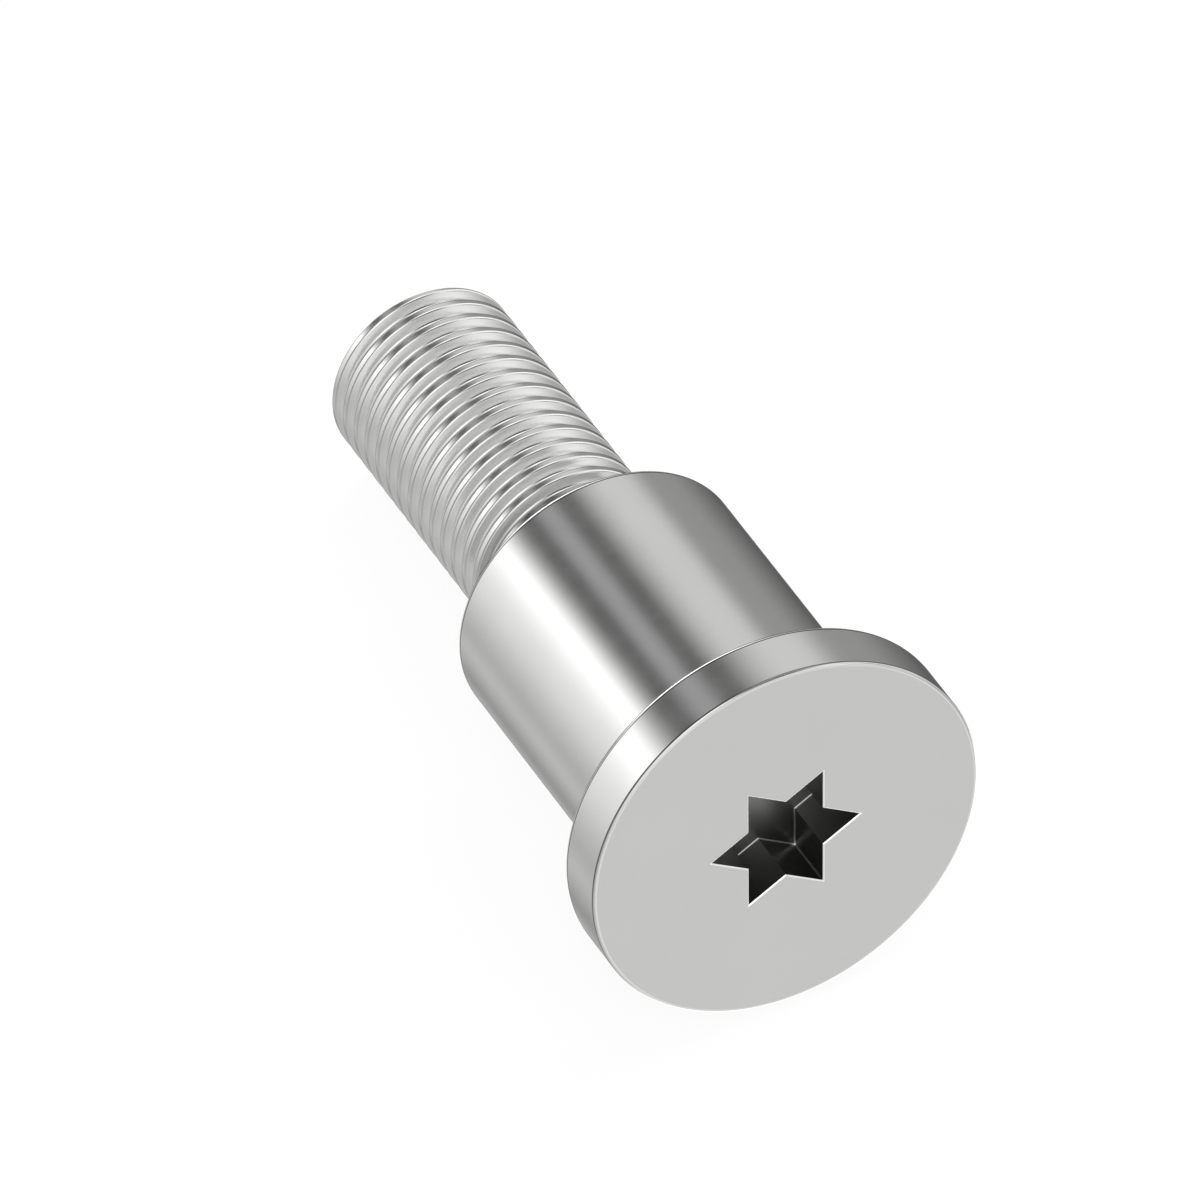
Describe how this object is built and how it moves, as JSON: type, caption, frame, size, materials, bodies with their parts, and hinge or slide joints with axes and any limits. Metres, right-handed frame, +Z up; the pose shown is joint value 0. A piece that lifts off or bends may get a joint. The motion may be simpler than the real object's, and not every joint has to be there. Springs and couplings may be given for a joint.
{
  "type": "hexalobular shoulder screw",
  "caption": "Small stainless shoulder screw with a thin flat head, a six-pointed star recess, a plain precision shoulder and a fine-threaded end.",
  "frame": {"origin": "bottom centre of the bounding box of the screw as it lies at rest on its side, on the surface it lies on", "axes": "+Z up from that surface; +X along the screw from its head towards its thread, seen from above, the screw's own axis dipping 8.32 degrees below +X; +Y across it"},
  "size_m": [0.0122, 0.006, 0.0062],
  "materials": {
    "steel": "plain stainless steel, finely turned and semi-bright"
  },
  "bodies": {
    "root": {"shoulder_screw": "steel"}
  },
  "joints": []
}
